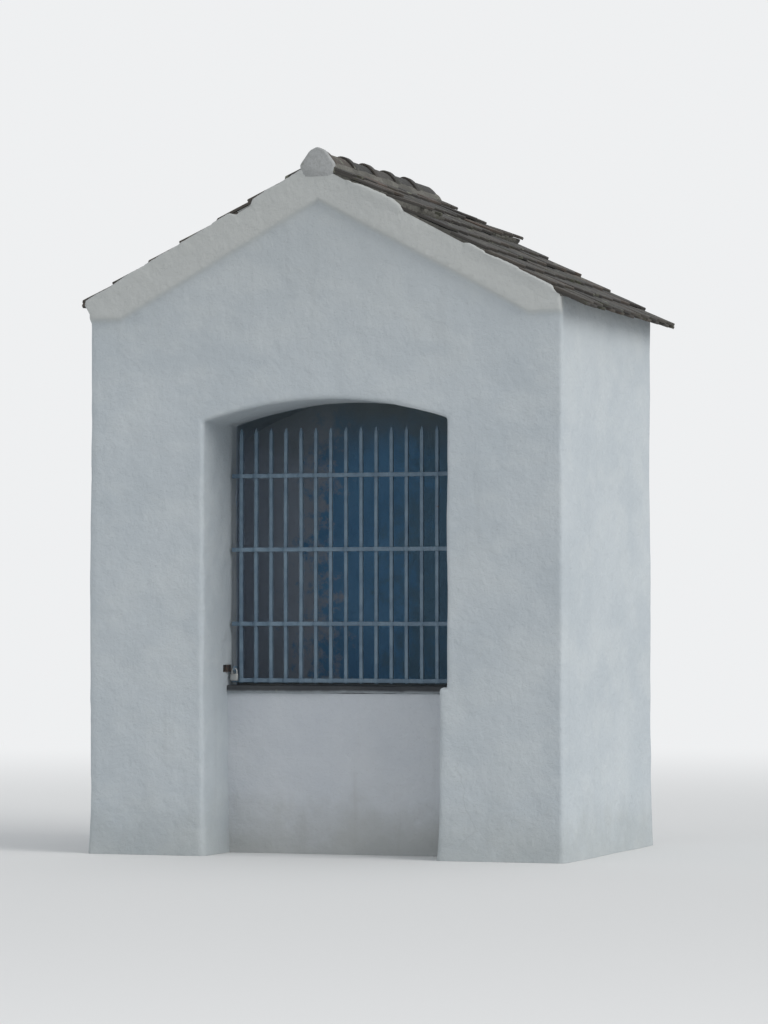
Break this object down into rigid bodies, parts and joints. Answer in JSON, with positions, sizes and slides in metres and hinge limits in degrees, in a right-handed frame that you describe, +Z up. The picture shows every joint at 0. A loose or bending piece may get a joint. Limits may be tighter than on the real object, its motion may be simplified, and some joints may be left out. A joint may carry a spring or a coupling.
{
  "type": "wayside shrine",
  "caption": "Small plastered wayside shrine: a niche chapel with an arched front opening over a parapet, a hinged iron gate of bars, a raised verge band and a tiled saddle roof.",
  "frame": {"origin": "on the ground, in the middle of the masonry footprint, at the mount base", "axes": "+X to the right seen from the front, +Y from the front opening to the back, +Z up"},
  "size_m": [2.708, 1.74, 3.538],
  "materials": {
    "lime_plaster": "uneven lime-washed plaster on masonry, matt",
    "niche_plaster": "blue lime wash on plaster, matt",
    "sill_stone": "weathered dark stone and mortar screed, matt",
    "timber": "sawn softwood, grey with age",
    "clay_tile": "old unglazed clay tiles, dark with lichen",
    "lime_mortar": "rough lime mortar",
    "gate_iron": "thin grey-blue paint on wrought iron, dull",
    "fitting_iron": "old black paint on forged iron, rusty at the edges",
    "padlock_steel": "plated steel, dull with weather"
  },
  "bodies": {
    "gate": {"gate_rails": "gate_iron", "gate_bars": "gate_iron", "gate_hinge_eye_lower": "gate_iron", "gate_hinge_eye_upper": "gate_iron", "gate_lock_lug": "gate_iron", "padlock_body": "padlock_steel", "padlock_shackle": "padlock_steel"},
    "shrine": {"apron_wall": "lime_plaster", "back_gable": "lime_plaster", "back_wall": "lime_plaster", "battens_left": "timber", "battens_right": "timber", "front_arch": "lime_plaster", "front_gable": "lime_plaster", "front_pier_left": "lime_plaster", "front_pier_right_lower": "lime_plaster", "front_pier_right_upper": "lime_plaster", "jamb_lock_lug": "fitting_iron", "left_wall": "lime_plaster", "niche_floor": "sill_stone", "niche_podium": "lime_plaster", "niche_vault": "niche_plaster", "pintle_lower": "fitting_iron", "pintle_upper": "fitting_iron", "rafters_left": "timber", "rafters_right": "timber", "ridge_bedding": "lime_mortar", "ridge_board": "timber", "ridge_plug": "lime_mortar", "ridge_tile_1": "clay_tile", "ridge_tile_2": "clay_tile", "ridge_tile_3": "clay_tile", "ridge_tile_4": "clay_tile", "ridge_tile_5": "clay_tile", "right_wall": "lime_plaster", "sill": "sill_stone", "tiles_left": "clay_tile", "tiles_right": "clay_tile", "verge_band_left": "lime_plaster", "verge_band_right": "lime_plaster", "wall_plate_left": "timber", "wall_plate_right": "timber"}
  },
  "joints": [
    {"name": "gate_hinge", "type": "hinge", "parent": "shrine", "child": "gate", "pos_m": [0.62, -0.445, 1.54], "axis": [0, 0, 1], "range_deg": [0, 90]}
  ]
}
